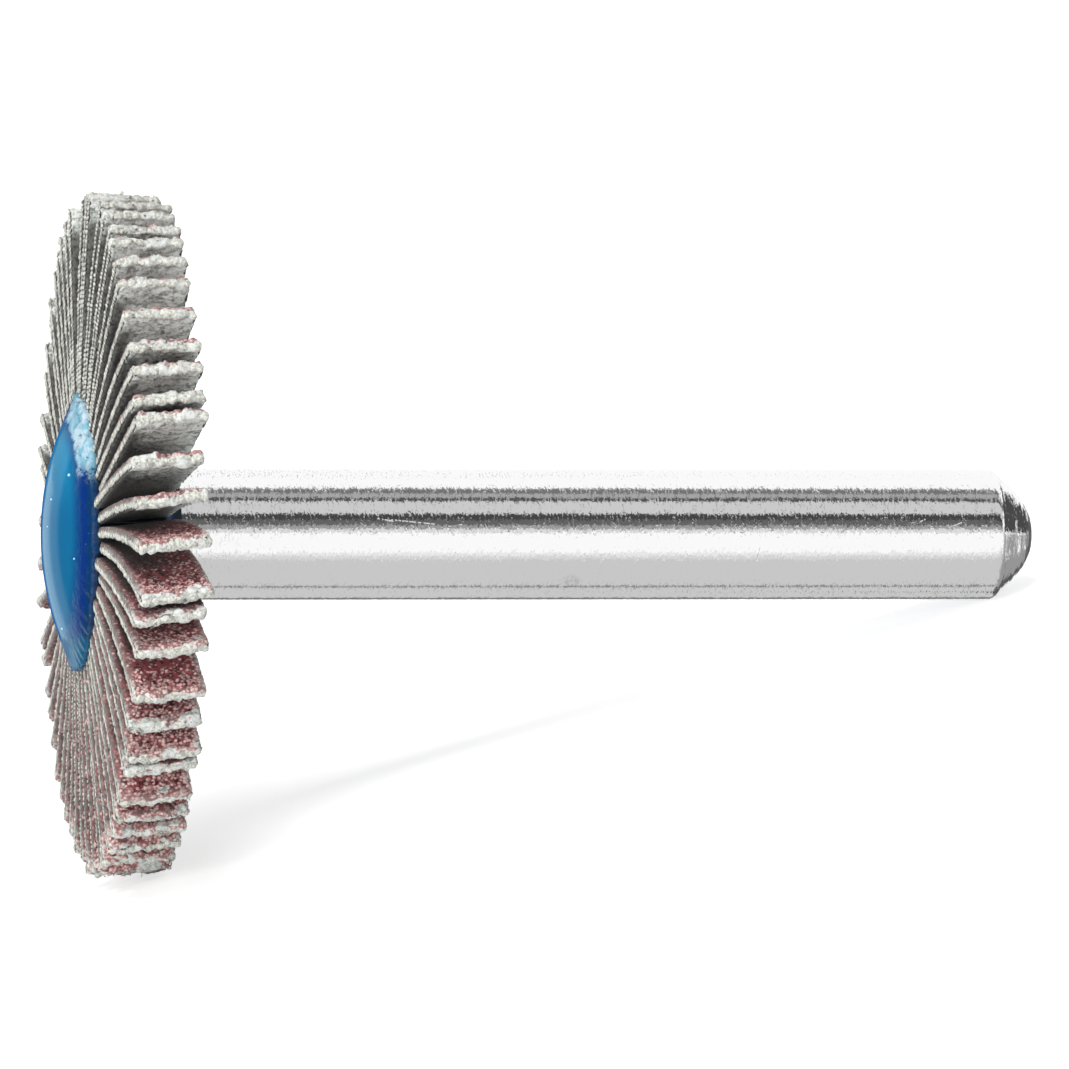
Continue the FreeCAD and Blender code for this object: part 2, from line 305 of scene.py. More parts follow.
def glowing_plane(name, side, rise, facing, centre, brightness, tint=(1, 1, 1)):
    """A plane with an even glow that only gloss sees."""
    bpy.ops.object.select_all(action="DESELECT")
    bpy.ops.mesh.primitive_plane_add(size=1)
    plane = bpy.context.object
    plane.name = name
    plane.matrix_world = Matrix([(side[i], rise[i], facing[i], centre[i]) for i in range(3)]
                                + [(0, 0, 0, 1)])
    plane.visible_camera = False
    plane.visible_diffuse = False
    plane.visible_shadow = False
    plane.visible_transmission = False
    material, tree, shader = fresh_material(name)
    shader.inputs["Base Color"].default_value = (0, 0, 0, 1)
    shader.inputs["Specular IOR Level"].default_value = 0
    shader.inputs["Emission Color"].default_value = (*tint, 1)
    shader.inputs["Emission Strength"].default_value = brightness
    plane.data.materials.append(material)
    glowing.append(plane)
    return plane


# %% [markdown]
# Seen from the shank, each line of its surface mirrors one direction. Going up the picture, dark
# and pale bands follow each other in the photograph, and every card below makes one of them. The
# thin dark lines stand a little nearer than the wide cards that they cross.

# %% The cards along the shank
CARD_DISTANCE = 0.45
CARD_LENGTH = 1.6
LINE_DISTANCE = 0.44


def card(name, low, high, brightness, distance=CARD_DISTANCE):
    """A strip along the shank, from angle low to angle high, in degrees."""
    middle = math.radians((low + high) / 2)
    half = math.radians((high - low) / 2)
    direction = to_camera * math.cos(middle) + up * math.sin(middle)
    across = up * math.cos(middle) - to_camera * math.sin(middle)
    centre = aim + direction * distance
    width = 2 * distance * math.tan(half)
    return glowing_plane(name, right * CARD_LENGTH, across * width, direction, centre, brightness)


card("dark_card_high", 68, 91, 0.40)
card("dark_line_upper", 79, 88, 0.18, LINE_DISTANCE)
card("dark_line_lower", 62.5, 69.5, 0.09, LINE_DISTANCE)
card("grey_card_middle", 38, 64, 0.62)
card("dark_card_low", 17, 38, 0.13)
card("dark_line_low", 27, 36.5, 0.06, LINE_DISTANCE)
card("half_dark_border", 10, 17, 0.34)
card("pale_dark_border", 3, 10, 0.72)
card("pale_border_upper", -39, -33, 0.84)
card("pale_border_lower", -46, -39, 0.70)
card("pale_card_below", -104, -46, 0.60)
card("thin_card_below", -109, -104, 0.24)
card("pale_card_under", -150, -108, 0.60)
card("dark_edge_below", -168, -150, 0.20)
card("dark_card_behind", 175, 185, 0.45)
print("cards along the shank:", len(glowing))

# %% [markdown]
# The blue dome is seen almost edge on, so it mirrors what stands behind it and to its left. A
# blue screen right behind it deepens its far edge, a bright panel beside that draws the pale
# stripe along the edge, weaker panels let the stripe fade, and dark screens keep the rest deep.
# They are placed by two angles: yaw from the direction straight behind the wheel towards its
# left, and pitch upwards.

# %% The panels that the dome mirrors
def panel(name, yaw_range, pitch_range, distance, brightness, seen_from=dome_base, tint=(1, 1, 1)):
    """A glowing rectangle for gloss alone, placed by the directions from one point."""
    yaw = math.radians(sum(yaw_range) / 2)
    pitch = math.radians(sum(pitch_range) / 2)
    level = -to_camera * math.cos(yaw) - right * math.sin(yaw)
    direction = level * math.cos(pitch) + up * math.sin(pitch)
    side = level.cross(up).normalized()
    rise = side.cross(direction)
    width = 2 * distance * math.tan(math.radians(yaw_range[1] - yaw_range[0]) / 2)
    height = 2 * distance * math.tan(math.radians(pitch_range[1] - pitch_range[0]) / 2)
    centre = seen_from + direction * distance
    return glowing_plane(name, side * width, rise * height, direction, centre, brightness, tint)


SKY_BLUE = (0.62, 0.86, 1.0)
DEEP_BLUE = (0.05, 0.30, 1.0)
panel("blue_screen", (3, 17), (-50, 60), 0.36, 0.36, tint=DEEP_BLUE)
panel("white_panel", (15, 31), (-50, 6), 0.33, 0.95, tint=SKY_BLUE)
panel("pale_panel", (30, 42), (-50, 14), 0.34, 0.46, tint=SKY_BLUE)
panel("pale_panel_top", (15, 36), (5, 45), 0.345, 0.36, tint=SKY_BLUE)
panel("dim_panel", (41, 62), (-50, 18), 0.36, 0.06, tint=SKY_BLUE)
panel("dark_screen_top", (14, 64), (8, 60), 0.38, 0.05)
panel("dark_screen_left", (61, 100), (-50, 60), 0.36, 0.03)
print("with those for the dome:", len(glowing))

# %% [markdown]
# The turned nose mirrors the right-hand side of the room. White above, a dark screen in the
# middle and grey below give it the same three parts as in the photograph, and one narrow bright
# panel makes the thin light streaks where the turning rings tilt towards it.

# %% The panels that the nose mirrors
NOSE = dome_base + along * 43 * MM
panel("grey_screen_right", (-104, -88), (-55, 10), 0.35, 0.45, NOSE)
panel("dark_screen_right", (-88, -40), (2, 34), 0.36, 0.07, NOSE)
panel("grey_screen_low", (-88, -28), (-55, 0), 0.37, 0.32, NOSE)
panel("slit_right", (-64, -55), (-16, 1), 0.33, 1.0, NOSE)
panel("dark_screen_far_right", (-41, -15), (-12, 9), 0.38, 0.11, NOSE)
panel("dark_screen_low_right", (-34, -16), (-55, -11), 0.39, 0.10, NOSE)
print("with those for the nose:", len(glowing))

# %% [markdown]
# The pieces are modelled as one would by hand: add a primitive, go into edit mode, select, and
# use an operator. An operator acts on all that is selected, so the first helper clears the
# selection. Edges are then chosen by a test on their two ends.

# %% Helpers for modelling by hand
def deselect_all():
    if bpy.context.object and bpy.context.object.mode != "OBJECT":
        bpy.ops.object.mode_set(mode="OBJECT")
    bpy.ops.object.select_all(action="DESELECT")


def make_active(piece):
    deselect_all()
    piece.select_set(True)
    bpy.context.view_layer.objects.active = piece


def select_edges(piece, test):
    """In edit mode, selects the edges whose two ends pass a test."""
    mesh = bmesh.from_edit_mesh(piece.data)
    bpy.ops.mesh.select_all(action="DESELECT")
    bpy.ops.mesh.select_mode(type="EDGE")
    for edge in mesh.edges:
        edge.select_set(test(edge.verts[0].co, edge.verts[1].co))
    mesh.select_flush_mode()
    bmesh.update_edit_mesh(piece.data)


# %% [markdown]
# Some shapes come from a formula, such as the bend of a flap. For them the points are read into
# an array, moved all at once, and written back, which is much quicker than one by one.

# %% Helpers for points and pieces
def coordinates(mesh):
    points = np.empty(3 * len(mesh.vertices), np.float32)
    mesh.vertices.foreach_get("co", points)
    return points.reshape(-1, 3).astype(float)


def move_to(mesh, points):
    mesh.vertices.foreach_set("co", np.asarray(points, np.float32).ravel())
    mesh.update()


def join_pieces(name, pieces):
    make_active(pieces[0])
    for piece in pieces:
        piece.select_set(True)
    bpy.ops.object.join()
    bpy.context.object.name = name
    return bpy.context.object


def apply_modifiers(piece):
    make_active(piece)
    for modifier in list(piece.modifiers):
        bpy.ops.object.modifier_apply(modifier=modifier.name)


# %% [markdown]
# A flap is cut from cloth backed with size and coated with grit on one face. In the photograph
# its long cut edges show the ends of the cross threads as a row of beads, and its outer end is
# worn to a soft white fringe. One blank is modelled flat, with its root at Z = 0, its grit on
# the side of negative Y and its front edge at positive X. It will be bent into each place.
# A cube stretched to a strip and divided along each way is enough. The rows are closer together
# in the outer half, where the cloth is rough, and the corners are rounded as wear leaves them.

# %% The sheet of one flap
WIDTH = 3.3
THICKNESS = 0.52
LENGTH = 9.95
FINE_PART = 4.6
COLUMNS, ROWS, LAYERS = 32, 58, 4
COARSE_ROWS = 12
WORN_PART, SIDE_WEAR, END_WEAR = 0.5, 0.07, 0.08


def cut_along(piece, axis, cuts):
    """Divides every edge that runs along one axis."""
    def runs(a, b):
        step = b - a
        return abs(step[axis]) > 0.999 * step.length
    select_edges(piece, runs)
    bpy.ops.mesh.subdivide(number_cuts=cuts)


def flap_sheet():
    deselect_all()
    bpy.ops.mesh.primitive_cube_add(size=1, location=(0, 0, LENGTH / 2))
    sheet = bpy.context.object
    sheet.scale = (WIDTH, THICKNESS, LENGTH)
    bpy.ops.object.transform_apply(location=True, rotation=False, scale=True)
    bpy.ops.object.mode_set(mode="EDIT")
    cut_along(sheet, 0, COLUMNS - 1)
    cut_along(sheet, 2, ROWS - 1)
    cut_along(sheet, 1, LAYERS - 1)
    bpy.ops.object.mode_set(mode="OBJECT")

    points = coordinates(sheet.data)
    knee = LENGTH * COARSE_ROWS / ROWS
    points[:, 2] = np.interp(points[:, 2], [0, knee, LENGTH], [0, LENGTH - FINE_PART, LENGTH])
    sideways = np.abs(points[:, 0]) / (WIDTH / 2)
    through = points[:, 1] / (THICKNESS / 2)
    end = np.clip((points[:, 2] - LENGTH + WORN_PART) / WORN_PART, 0, 1)
    points[:, 0] -= np.sign(points[:, 0]) * SIDE_WEAR * through ** 2 * sideways ** 12
    points[:, 0] -= np.sign(points[:, 0]) * SIDE_WEAR * end ** 4 * sideways ** 8
    points[:, 2] -= END_WEAR * sideways ** 10 * end ** 2 + END_WEAR * through ** 2 * end ** 6
    move_to(sheet.data, points)
    return sheet


sheet = flap_sheet()
print("sheet:", len(sheet.data.polygons), "faces")

# %% [markdown]
# The thread ends are too many to model one by one, and each is only a few pixels wide, so one
# small ball is repeated by an Array modifier into a row and made uneven later, when noise moves
# the points of each flap. A ball of twenty faces does for a bead of the long edges. The worn end
# is softer, so its tufts are bigger balls of eighty faces.

# %% A row of lumps
LUMP_SPREAD = 0.20
LUMP_SHIFT = 0.02


def row_of_lumps(radii, start, step, count, detail, turn=0.0):
    """A row of small stretched balls."""
    deselect_all()
    bpy.ops.mesh.primitive_ico_sphere_add(subdivisions=detail, radius=1)
    lump = bpy.context.object
    lump.scale = radii
    lump.rotation_euler = (turn, 0, 0)
    bpy.ops.object.transform_apply(location=False, rotation=True, scale=True)
    lump.location = start
    bpy.ops.object.transform_apply(location=True, rotation=False, scale=False)
    array = lump.modifiers.new("row", "ARRAY")
    array.count = count
    array.use_relative_offset = False
    array.use_constant_offset = True
    array.constant_offset_displace = step
    apply_modifiers(lump)

    dice = random.Random(count)
    points = coordinates(lump.data).reshape(count, -1, 3)
    middles = points.mean(axis=1, keepdims=True)
    for number in range(count):
        growth = dice.uniform(1 - LUMP_SPREAD, 1 + LUMP_SPREAD)
        points[number] = middles[number] + (points[number] - middles[number]) * growth
        points[number] += [dice.uniform(-LUMP_SHIFT, LUMP_SHIFT) for _ in range(3)]
    move_to(lump.data, points)
    return lump


# %% [markdown]
# A few fibres stand out of the worn end. Particles would make them in one go, but they stay
# hairs, not mesh. A cone with three sides, bent by moving its points, is real mesh and costs
# little, and every blank gets its own bunch.

# %% The fringe
LEAN_ACROSS, LEAN_ALONG = 0.7, 0.8
FIBRE_BEND = 0.9


def fringe(seed, count):
    """Loose fibres at the outer end: thin bent cones that lean every way."""
    dice = random.Random(seed)
    fibres = []
    for number in range(count):
        deselect_all()
        length = dice.uniform(0.12, 0.34)
        bpy.ops.mesh.primitive_cone_add(vertices=3, radius1=0.013, radius2=0.004, depth=length,
                                        end_fill_type="NOTHING")
        fibre = bpy.context.object
        bpy.ops.object.mode_set(mode="EDIT")
        select_edges(fibre, lambda a, b: abs(b.z - a.z) > 0.1)
        bpy.ops.mesh.subdivide(number_cuts=3)
        bpy.ops.object.mode_set(mode="OBJECT")
        points = coordinates(fibre.data)
        points[:, 2] += length / 2
        points[:, 0] += dice.uniform(-FIBRE_BEND, FIBRE_BEND) * points[:, 2] ** 2
        points[:, 1] += dice.uniform(-FIBRE_BEND, FIBRE_BEND) * points[:, 2] ** 2
        move_to(fibre.data, points)
        fibre.rotation_euler = (dice.gauss(0, LEAN_ACROSS), dice.gauss(0, LEAN_ALONG),
                                dice.uniform(0, 6.28))
        across = WIDTH / 2 * dice.uniform(-0.9, 1)
        fibre.location = (across, dice.uniform(-0.1, 0.25), LENGTH - dice.uniform(0.02, 0.2))
        bpy.ops.object.transform_apply(location=True, rotation=True, scale=True)
        fibres.append(fibre)
    return join_pieces("fringe", fibres)


# %% [markdown]
# Along each long edge the beads lean a little, as the twist of the threads makes them. Across
# the end stand bigger tufts, close enough to melt into one soft lip when noise moves them.

# %% The thread ends
BEAD_STEP = 0.215
BEAD_RADII = (0.078, 0.20, 0.105)
BEAD_LEAN = 0.4
FIRST_BEAD = 0.7
TUFT_STEP = 0.135
TUFT_RADII = (0.16, 0.18, 0.13)

BEADS = int((LENGTH - FIRST_BEAD) / BEAD_STEP)
rows = [row_of_lumps(BEAD_RADII, (side * (WIDTH / 2 - 0.015), 0.08, FIRST_BEAD),
                     (0, 0, BEAD_STEP), BEADS, 1, turn=side * BEAD_LEAN) for side in (1, -1)]
TUFTS = int((WIDTH - 0.1) / TUFT_STEP)
rows.append(row_of_lumps(TUFT_RADII, (-TUFT_STEP * (TUFTS - 1) / 2, 0.07, LENGTH - 0.08),
                         (TUFT_STEP, 0, 0), TUFTS, 2))
print(BEADS, "beads on each long edge,", TUFTS, "tufts at the end")

# %% [markdown]
# The finish has to know what is cloth, what is grit and what is loose thread, wherever the flap
# is bent to. So each point of the blank remembers its place on the flat flap, in millimetres,
# and whether it is thread. Vertex groups keep the places where the noise may move it.

# %% What each point remembers
def remember_places(piece, threads):
    """Stores the flat place and the thread mark on every point of a piece."""
    mesh = piece.data
    place = mesh.attributes.new("flat_place", "FLOAT_VECTOR", "POINT")
    place.data.foreach_set("vector", coordinates(mesh).astype(np.float32).ravel())
    for label, value in (("thread", threads), ("flap_number", 0.0)):
        mark = mesh.attributes.new(label, "FLOAT", "POINT")
        mark.data.foreach_set("value", np.full(len(mesh.vertices), value, np.float32))


def group_points(piece, name, weights):
    group = piece.vertex_groups.new(name=name)
    for index in np.flatnonzero(weights > 0.01):
        group.add([int(index)], float(weights[index]), "REPLACE")


# %% [markdown]
# Four blanks differ in their fringe only. Copied in turn round the wheel, and made uneven by
# noise that depends on the place, they never look alike.

# %% The blanks
FRINGE_SEEDS = (3, 8, 21, 34)
FIBRES = 18


def grouped_blank(seed):
    """A copy of the sheet, its thread ends and one fringe, as one piece."""
    loose = fringe(seed, FIBRES)
    copies = []
    for source in rows:
        twin = source.copy()
        twin.data = source.data.copy()
        bpy.context.scene.collection.objects.link(twin)
        copies.append(twin)
    threads = join_pieces("threads", copies + [loose])
    remember_places(threads, 1.0)
    body = sheet.copy()
    body.data = sheet.data.copy()
    bpy.context.scene.collection.objects.link(body)
    remember_places(body, 0.0)
    blank = join_pieces(f"blank_{seed}", [body, threads])

    points = coordinates(blank.data)
    is_thread = np.empty(len(points), np.float32)
    blank.data.attributes["thread"].data.foreach_get("value", is_thread)
    is_sheet = 1 - is_thread
    end = np.clip((points[:, 2] - LENGTH + 0.9) / 0.9, 0, 1) ** 2
    fine = np.clip((points[:, 2] - LENGTH + FINE_PART) / 0.5, 0, 1)
    group_points(blank, "grit", is_sheet * fine * (points[:, 1] < -0.2))
    group_points(blank, "nap", is_sheet * fine * (points[:, 1] > -0.1))
    group_points(blank, "end", end * is_sheet)
    group_points(blank, "threads", is_thread)
    group_points(blank, "tufts", is_thread * (points[:, 2] > LENGTH - 0.3))
    return blank


blanks = [grouped_blank(seed) for seed in FRINGE_SEEDS]
for piece in rows + [sheet]:
    bpy.data.objects.remove(piece)
triangles = sum(len(p.vertices) - 2 for p in blanks[0].data.polygons)
print("one blank:", triangles, "triangles; all flaps:", triangles * len(FLAPS))

# %% [markdown]
# Now each blank is bent into the place of its node. The node's own corners say how: its root is
# the rectangle nearest the axis, its outer end the one farthest away, and between them the model
# runs straight for a short way and then in one round bend. The same curve is worked out here, so
# the dressed flap stands where the plain one stood. Small shifts along the axis follow the
# photograph, where no two neighbours end level.

# %% The frame of one flap
def flap_frame(name):
    """Root, three directions and the outer end of a node, in the wheel frame."""
    points = np.array([part_to_wheel @ Vector(p) for p in node_points(name)])
    far = np.argsort(np.hypot(points[:, 0], points[:, 1]))
    inner, outer = points[far[:4]], points[far[-4:]]
    root, end = Vector(inner.mean(axis=0)), Vector(outer.mean(axis=0))
    spokes = [Vector(p) - root for p in inner]
    front = max(spokes, key=lambda spoke: -spoke.z)
    other = max((s for s in spokes if s is not front), key=lambda spoke: -spoke.z)
    front_way = (front + other).normalized()
    flat_way = (front - other).normalized()
    outwards = front_way.cross(flat_way)
    if outwards.dot(root) < 0:
        outwards = -outwards
    later = outwards.cross(front_way)
    return root, front_way, later, outwards, end


print("first root at", [round(v, 2) for v in flap_frame(FLAPS[0])[0]], "mm")

# %% [markdown]
# A Simple Deform modifier bends evenly over the whole length, but this curve has a straight
# start, so the points are moved by the formula of the curve instead: straight up to the bend,
# then round it by the angle that their height asks for.

# %% Bending a blank into place
STRAIGHT = 1.05
SHIFTS = [0.00, 0.05, -0.04, -0.02, -0.10, -0.06, 0.00, 0.08, 0.03, 0.15, -0.12,
          0.04, 0.06, 0.14, -0.08, 0.12, 0.04, -0.06, 0.06, 0.05, -0.04, -0.02,
          0.05, 0.03, -0.05, 0.16, 0.02, -0.10, 0.05]
FAR_LEAN = 0.56
TOP_LEAN = 0.32
WAVE_SEED = 12
dice = random.Random(WAVE_SEED)


def bend_onto(name, blank, shift):
    """A bent copy of the blank, in the wheel frame."""
    root, front_way, later, outwards, end = flap_frame(name)
    high, near_side = end.xy.normalized()
    lean = FAR_LEAN * max(0, -near_side) + TOP_LEAN * max(0, high) ** 2
    shift *= 0.35 + 0.65 * max(0, near_side)
    sideways, outward = (end - root).dot(later), (end - root).dot(outwards)
    slope = 2 * math.atan2(sideways, outward - STRAIGHT)
    radius = (outward - STRAIGHT) / math.sin(slope)
    reach = STRAIGHT + radius * slope

    flap = blank.copy()
    flap.data = blank.data.copy()
    bpy.context.scene.collection.objects.link(flap)
    points = coordinates(flap.data)
    x = points[:, 0] + shift + lean * points[:, 2] / LENGTH
    y, z = points[:, 1], points[:, 2] * reach / LENGTH
    wave, phase = dice.uniform(0.02, 0.06), dice.uniform(0, 6.28)
    y = y + wave * np.sin(1.3 * x + phase) * np.clip(z / 5, 0, 1)
    turned = np.clip((z - STRAIGHT) / radius, 0, None)
    beyond = np.where(z > STRAIGHT, 0, z)
    local_y = radius * (1 - np.cos(turned)) + y * np.cos(turned)
    local_z = np.where(z > STRAIGHT, STRAIGHT, 0) + beyond + (radius - y) * np.sin(turned)
    frame_matrix = np.array([front_way, later, outwards])
    move_to(flap.data, np.array(root) + np.stack([x, local_y, local_z], axis=1) @ frame_matrix)
    return flap


# %% [markdown]
# Real cloth is uneven everywhere. A Displace modifier pushes the points of one group along their
# normals by a noise texture, and it is applied at once, so that the roughness is in the mesh.

# %% Roughness in the mesh
def noise_texture(name, scale, depth=2):
    texture = bpy.data.textures.new(name, "CLOUDS")
    texture.noise_scale = scale
    texture.noise_depth = depth
    return texture


GRIT_NOISE = noise_texture("grit_lumps", 0.13, 1)
NAP_NOISE = noise_texture("nap_lumps", 0.24)
END_NOISE = noise_texture("end_lumps", 0.60)
TUFT_NOISE = noise_texture("tuft_lumps", 0.50)
THREAD_NOISE = noise_texture("thread_lumps", 0.13)


def roughen(piece, texture, strength, group, middle=0.5):
    """Pushes the points of a group in and out by noise."""
    push = piece.modifiers.new(group, "DISPLACE")
    push.texture = texture
    push.texture_coords = "LOCAL"
    push.direction = "NORMAL"
    push.strength = strength
    push.mid_level = middle
    push.vertex_group = group


# %% [markdown]
# All is ready for the fan. Each flap is bent, numbered, roughened, moved into the model's frame,
# hung on the root body and named after the node that it stands for, which is hidden.

# %% The fan of flaps
flaps = []
for index, name in enumerate(FLAPS):
    flap = bend_onto(name, blanks[index % len(blanks)], -SHIFTS[index % len(SHIFTS)])
    flap.name = f"cloth_{name}"
    number = np.full(len(flap.data.vertices), index, np.float32)
    flap.data.attributes["flap_number"].data.foreach_set("value", number)
    roughen(flap, GRIT_NOISE, 0.20, "grit")
    roughen(flap, NAP_NOISE, 0.24, "nap")
    roughen(flap, END_NOISE, 0.60, "end", 0.48)
    roughen(flap, TUFT_NOISE, 0.36, "tufts", 0.47)
    roughen(flap, THREAD_NOISE, 0.09, "threads")
    apply_modifiers(flap)
    flap.data.transform(wheel_to_part)
    flap.data.shade_smooth()
    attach(flap, "root")
    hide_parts(name)
    flaps.append(flap)
for blank in blanks:
    bpy.data.objects.remove(blank)
print(len(flaps), "flaps in place")

# %% [markdown]
# The finishes read the place of each point from Texture Coordinate's Object output. A Mapping
# node turns it into the wheel frame, in millimetres, so that a pattern can be given along and
# round the wheel. Three more helpers keep the sums below short.

# %% Coordinates and sums for the finishes
def wheel_coordinates(tree):
    """Object coordinates turned into the wheel frame, in millimetres."""
    source = add_node(tree, "ShaderNodeTexCoord")
    mapping = add_node(tree, "ShaderNodeMapping", vector_type="TEXTURE")
    mapping.inputs["Location"].default_value = dome_base
    mapping.inputs["Rotation"].default_value = Matrix((top, near, along)).transposed().to_euler()
    mapping.inputs["Scale"].default_value = (MM, MM, MM)
    plug(tree, source.outputs["Object"], mapping.inputs["Vector"])
    return mapping.outputs["Vector"]


def noise(tree, vector, scale, detail=2.0, roughness=0.5):
    node = add_node(tree, "ShaderNodeTexNoise", Scale=scale, Detail=detail, Roughness=roughness)
    plug(tree, vector, node.inputs["Vector"])
    return node.outputs["Fac"]


def three_numbers(tree, vector):
    node = add_node(tree, "ShaderNodeSeparateXYZ")
    plug(tree, vector, node.inputs[0])
    return list(node.outputs)


def stretched(tree, vector, factors):
    node = add_node(tree, "ShaderNodeVectorMath", operation="MULTIPLY")
    plug(tree, vector, node.inputs[0])
    node.inputs[1].default_value = factors
    return node.outputs[0]


def plus(tree, first, second):
    return arithmetic(tree, "ADD", first, second)


def times(tree, first, second):
    return arithmetic(tree, "MULTIPLY", first, second)


# %% [markdown]
# The cloth's finish follows the flap, not the room: on the grit side it is maroon grain with
# pale specks, on the other a grey weave, and thread is pale wherever it shows. So its masks are
# made of the flat place that each point remembers: how far to the front, how far through the
# cloth and how far out. Noise runs on the wheel's coordinates, so no two flaps are alike.

# %% What the cloth's finish reads
material, tree, shader = fresh_material("abrasive_cloth")
where = wheel_coordinates(tree)
flat_place = add_node(tree, "ShaderNodeAttribute", attribute_name="flat_place").outputs["Vector"]
thread = add_node(tree, "ShaderNodeAttribute", attribute_name="thread").outputs["Fac"]
number = add_node(tree, "ShaderNodeAttribute", attribute_name="flap_number").outputs["Fac"]
to_front, through, out = three_numbers(tree, flat_place)
outermost = arithmetic(tree, "ABSOLUTE", to_front)
# near_end is 1 at the outer end and 0 further in. Further in, the weave's dark tone is darker and
# fewer  grains are pale: partly wear at the end, partly painted shade inside the gap.
near_end = ramp(tree, out, LENGTH - 2.2, LENGTH - 0.3)
wander = arithmetic(tree, "SUBTRACT", noise(tree, where, 3.2, 3.0, 0.6), 0.5)
print("each point's own marks:", [mark for mark in ("flat_place", "thread", "flap_number")
                                  if mark in flaps[0].data.attributes])

# %% [markdown]
# Crushed grain lies in maroon size. Each cell of a Voronoi texture stands for one grain, and its
# random colour says how dark it is and whether it is pale: a grain worn bare, or a painted glint
# where it would catch the light. Towards the worn end more of the grains are bare and pale.

# %% The grain
GRAINS_PER_MM = 7.2
GRAIN_DARK, GRAIN_LIGHT = (0.022, 0.003, 0.007), (0.30, 0.050, 0.060)
BARE_GRAIN_AND_GLINT = (0.95, 0.66, 0.62)

cells = add_node(tree, "ShaderNodeTexVoronoi", Scale=GRAINS_PER_MM)
plug(tree, where, cells.inputs["Vector"])
hue = add_node(tree, "ShaderNodeSeparateColor")
plug(tree, cells.outputs["Color"], hue.inputs[0])
grain_tone = plus(tree, times(tree, hue.outputs[0], 0.7),
                  times(tree, noise(tree, where, 1.6, 3.0), 0.6))
grain = blend_colours(tree, ramp(tree, grain_tone, 0.25, 0.95), GRAIN_DARK, GRAIN_LIGHT)
pale_share = plus(tree, hue.outputs[1], times(tree, near_end, 0.46))
# Pale specks: grains worn bare, and painted glints where a grain would catch the light.
pale_grain_and_glint = times(tree, ramp(tree, pale_share, 0.52, 0.95),
              ramp(tree, cells.outputs["Distance"], 0.85, 0.25))
pale_grain_and_glint = times(tree, pale_grain_and_glint, ramp(tree, hue.outputs[2], -0.6, 0.8))
grain = blend_colours(tree, pale_grain_and_glint, grain, BARE_GRAIN_AND_GLINT)
print("grains to the millimetre:", GRAINS_PER_MM)

# %% [markdown]
# The backs are woven cloth gone fluffy. A noise stretched across the flap reads as weft, a finer
# one as nap, and a few darker flecks lie between. The weft is moved on by the flap's number, so
# that neighbours differ, and the last half millimetre is rubbed paler.

# %% The weave of the backs
WEAVE_DARK, WEAVE_PALE = (0.22, 0.245, 0.225), (0.80, 0.86, 0.81)
END_DARK, END_PALE = (0.28, 0.305, 0.28), (0.80, 0.84, 0.80)
RUBBED_WEAVE, FLECK = (0.76, 0.76, 0.73), (0.15, 0.155, 0.14)

apart = add_node(tree, "ShaderNodeCombineXYZ")
plug(tree, times(tree, number, 11.7), apart.inputs[1])
own = add_node(tree, "ShaderNodeVectorMath", operation="ADD")
plug(tree, stretched(tree, flat_place, (1.5, 2.0, 4.0)), own.inputs[0])
plug(tree, apart.outputs[0], own.inputs[1])
weft = noise(tree, own.outputs[0], 1.0, 4.0, 0.6)
nap = noise(tree, where, 4.2, 5.0, 0.75)
weave_tone = plus(tree, times(tree, weft, 0.40), times(tree, nap, 0.60))
# Further from the end the dark tone of the weave is darker, as painted shade inside the gap.
weave = blend_colours(tree, ramp(tree, weave_tone, 0.41, 0.53),
                      blend_colours(tree, near_end, WEAVE_DARK, END_DARK),
                      blend_colours(tree, near_end, WEAVE_PALE, END_PALE))
worn = ramp(tree, plus(tree, out, times(tree, wander, 0.6)), LENGTH - 0.40, LENGTH - 0.1)
weave = blend_colours(tree, times(tree, worn, 0.45), weave, RUBBED_WEAVE)
flecks = ramp(tree, noise(tree, where, 8.0, 3.0, 0.7), 0.46, 0.34)
weave = blend_colours(tree, times(tree, flecks, 0.40), weave, FLECK)
print("weave from", WEAVE_DARK, "to", WEAVE_PALE)

# %% [markdown]
# The beads of thread are pale only where they stand out of the cut edge. Between them, and just
# behind them on the back, painted shade darkens the cloth as if it lay in a hollow, and draws
# each edge as a rope.

# %% The thread ends and the painted shade beside them
THREAD_DARK, THREAD_PALE = (0.42, 0.42, 0.375), (0.78, 0.785, 0.72)
SHADE_BETWEEN_BEADS, PAINTED_GROOVE_SHADE = (0.055, 0.047, 0.040), (0.03, 0.024, 0.02)

thread_tone = ramp(tree, noise(tree, where, 7.0, 3.0, 0.65), 0.34, 0.62)
thread_colour = blend_colours(tree, thread_tone, THREAD_DARK, THREAD_PALE)
# The beads are pale where they stand out; between them their colour is painted shade.
on_edge = arithmetic(tree, "MAXIMUM", ramp(tree, outermost, WIDTH / 2 - 0.03, WIDTH / 2 + 0.04),
                     ramp(tree, out, LENGTH - 0.25, LENGTH - 0.08))
thread_colour = blend_colours(tree, on_edge, SHADE_BETWEEN_BEADS, thread_colour)
# Painted shade on the back just behind the beads.
groove_shade = times(tree, ramp(tree, to_front, WIDTH / 2 + 0.03, WIDTH / 2 - 0.04),
               ramp(tree, to_front, WIDTH / 2 - 0.85, WIDTH / 2 - 0.30))
groove_shade = times(tree, groove_shade, ramp(tree, out, LENGTH - 0.6, LENGTH - 1.6))
weave = blend_colours(tree, times(tree, groove_shade, 0.82), weave, PAINTED_GROOVE_SHADE)
print("thread from", THREAD_DARK, "to", THREAD_PALE)

# %% [markdown]
# Wear takes the grain off the outer end and off the long edges, in an uneven line, and leaves
# dust near it. How much is gone differs from flap to flap: White Noise gives every number its
# own luck.

# %% Where the grain is worn off
GRAIN_DUST = (0.55, 0.42, 0.39)

